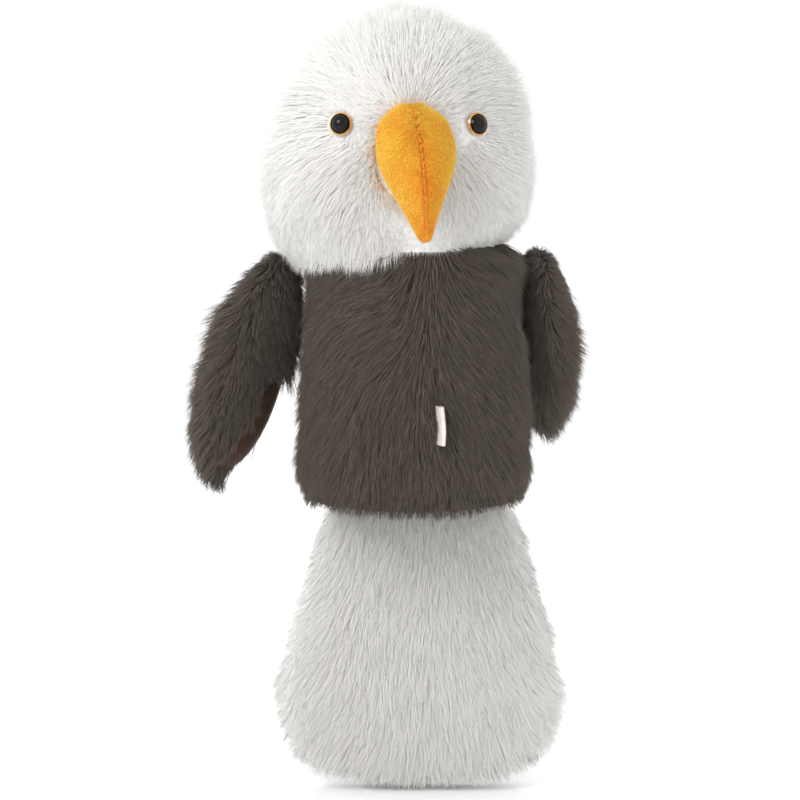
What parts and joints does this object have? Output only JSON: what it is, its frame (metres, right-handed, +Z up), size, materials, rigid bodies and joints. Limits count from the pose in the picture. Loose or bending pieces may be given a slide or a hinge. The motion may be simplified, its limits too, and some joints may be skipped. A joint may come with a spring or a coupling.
{
  "type": "driver head cover",
  "caption": "Plush bird-of-prey club head cover: white fur head with yellow beak, brown fur sleeve and wings, fan tail, elastic opening at the hem.",
  "frame": {"origin": "centre of the club opening at the bottom hem, at the lower end of the elastic casing", "axes": "+Z up along the sleeve to the head, -Y the way the face looks, +X to the right of someone who faces it"},
  "size_m": [0.2136, 0.1974, 0.4446],
  "materials": {
    "white_pile": "long white pile, soft sheen",
    "brown_pile": "long dark brown pile with pale tips",
    "beak_velboa": "short golden yellow pile",
    "beak_thread": "orange sewing thread",
    "wing_suede": "dark brown brushed suede cloth",
    "pocket_knit": "black knit",
    "elastic": "woven elastic",
    "filling": "polyester fibre",
    "wadding": "polyester wadding",
    "label_tape": "blank woven tape",
    "eye_amber": "glossy amber",
    "eye_black": "glossy black",
    "washer_plastic": "moulded white"
  },
  "bodies": {
    "cover": {"head_side_left": "white_pile", "head_side_right": "white_pile", "head_crown_gusset": "white_pile", "head_chin_panel": "white_pile", "body_front_left": "brown_pile", "body_front_right": "brown_pile", "body_back": "brown_pile", "beak_left": "beak_velboa", "beak_right": "beak_velboa", "beak_underside": "beak_velboa", "beak_seam_thread": "beak_thread", "pocket_lining_left": "pocket_knit", "pocket_lining_right": "pocket_knit", "hem_facing": "pocket_knit", "hem_casing": "pocket_knit", "elastic_band": "elastic", "beak_filling": "filling", "head_padding": "wadding", "body_padding": "wadding", "care_label": "label_tape", "eye_left_iris": "eye_amber", "eye_right_iris": "eye_amber", "eye_left_pupil": "eye_black", "eye_right_pupil": "eye_black", "eye_left_washer": "washer_plastic", "eye_right_washer": "washer_plastic"},
    "wing_left": {"wing_left_fur": "brown_pile", "wing_left_lining": "wing_suede", "wing_left_filling": "filling"},
    "wing_right": {"wing_right_fur": "brown_pile", "wing_right_lining": "wing_suede", "wing_right_filling": "filling"},
    "tail": {"tail_front": "white_pile", "tail_back": "white_pile", "tail_filling": "filling"}
  },
  "joints": [
    {"name": "wing_left_flap", "type": "hinge", "parent": "cover", "child": "wing_left", "pos_m": [-0.074, 0.004, 0.136], "axis": [0.6179, 0.766, -0.1772], "range_deg": [0, 40]},
    {"name": "wing_right_flap", "type": "hinge", "parent": "cover", "child": "wing_right", "pos_m": [0.071, 0, 0.136], "axis": [0.309, -0.732, -0.6072], "range_deg": [0, 40]},
    {"name": "tail_swing", "type": "hinge", "parent": "cover", "child": "tail", "pos_m": [0.004, 0.0475, -0.0016], "axis": [1, 0, 0], "range_deg": [-10, 75]}
  ]
}
